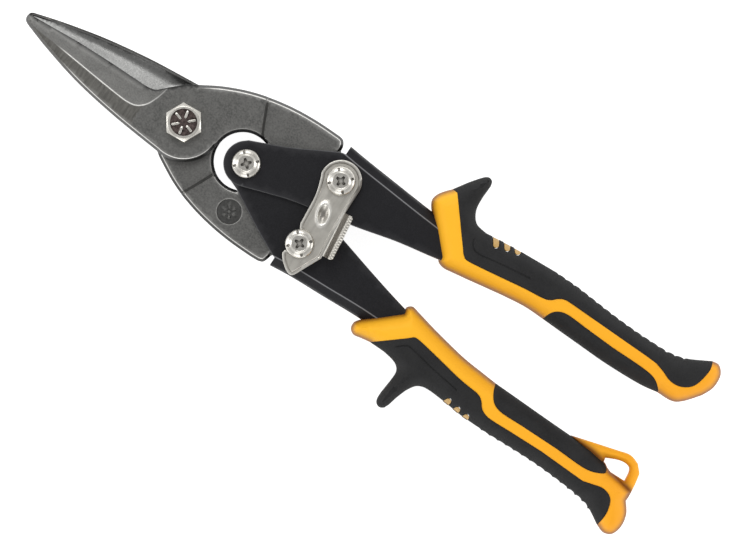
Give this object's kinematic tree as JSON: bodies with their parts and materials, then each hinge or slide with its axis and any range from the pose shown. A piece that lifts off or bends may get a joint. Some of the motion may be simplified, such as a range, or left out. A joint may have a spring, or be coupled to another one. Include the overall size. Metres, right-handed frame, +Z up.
{
  "type": "aviation snips",
  "caption": "Compound-action sheet-metal snips with long straight jaws, linked folded-steel handles, a side latch with a thumb tab and two-tone moulded grips with a hanging loop.",
  "frame": {"origin": "On the main pivot's axis, at the flat end of the pivot bolt, in the plane that the back of the tool rests on", "axes": "+X from the jaw tips to the grips, +Y towards the upper handle, +Z up out of the latch side"},
  "size_m": [0.2501, 0.081, 0.0236],
  "materials": {
    "blade_steel": "shot-blasted forged steel with brighter edges",
    "handle_paint": "satin black on folded sheet steel",
    "bright_nickel": "bright nickel plate",
    "latch_nickel": "satin nickel plate",
    "spring_steel": "drawn wire",
    "grip_orange": "fine satin texture",
    "grip_black": "matt soft overmoulding"
  },
  "bodies": {
    "upper_arm": {"upper_handle": "handle_paint", "fulcrum_screw": "bright_nickel", "fulcrum_nut": "bright_nickel", "fulcrum_sleeve": "bright_nickel", "return_spring": "spring_steel", "upper_link_screw": "bright_nickel", "upper_link_nut": "bright_nickel", "latch_washer": "bright_nickel", "upper_grip_core": "grip_orange", "upper_grip_outer_panel": "grip_black", "upper_grip_inner_panel": "grip_black"},
    "lower_arm": {"lower_handle": "handle_paint", "lower_link_screw": "bright_nickel", "lower_link_nut": "bright_nickel", "lower_grip_core": "grip_orange", "lower_grip_outer_panel": "grip_black", "lower_grip_inner_panel": "grip_black"},
    "front_jaw": {"front_blade": "blade_steel", "pivot_bolt": "bright_nickel", "pivot_washer": "bright_nickel", "pivot_nut": "bright_nickel"},
    "rear_jaw": {"rear_blade": "blade_steel"},
    "latch_arm": {"latch": "latch_nickel"}
  },
  "joints": [
    {"name": "handle_opening", "type": "hinge", "parent": "upper_arm", "child": "lower_arm", "pos_m": [0.024, 0, 0.0105], "axis": [0, 0, -1], "range_deg": [0, 36], "deforming": ["return_spring"]},
    {"name": "front_link", "type": "hinge", "parent": "upper_arm", "child": "front_jaw", "pos_m": [0.0524, 0.012, 0.0105], "axis": [0, 0, -1], "range_deg": [0, 8.9]},
    {"name": "main_pivot", "type": "hinge", "parent": "front_jaw", "child": "rear_jaw", "pos_m": [0, 0, 0.0105], "axis": [0, 0, -1], "range_deg": [0, 18.7]},
    {"name": "latch_swing", "type": "hinge", "parent": "upper_arm", "child": "latch_arm", "pos_m": [0.0524, 0.012, 0.0105], "axis": [0, 0, 1], "range_deg": [0, 51]}
  ],
  "couplings": [
    {"joint": "front_link", "follows": "handle_opening", "ratio": 0.244},
    {"joint": "main_pivot", "follows": "handle_opening", "ratio": 0.514},
    {"joint": "latch_swing", "follows": "handle_opening", "ratio": 1.4}
  ]
}
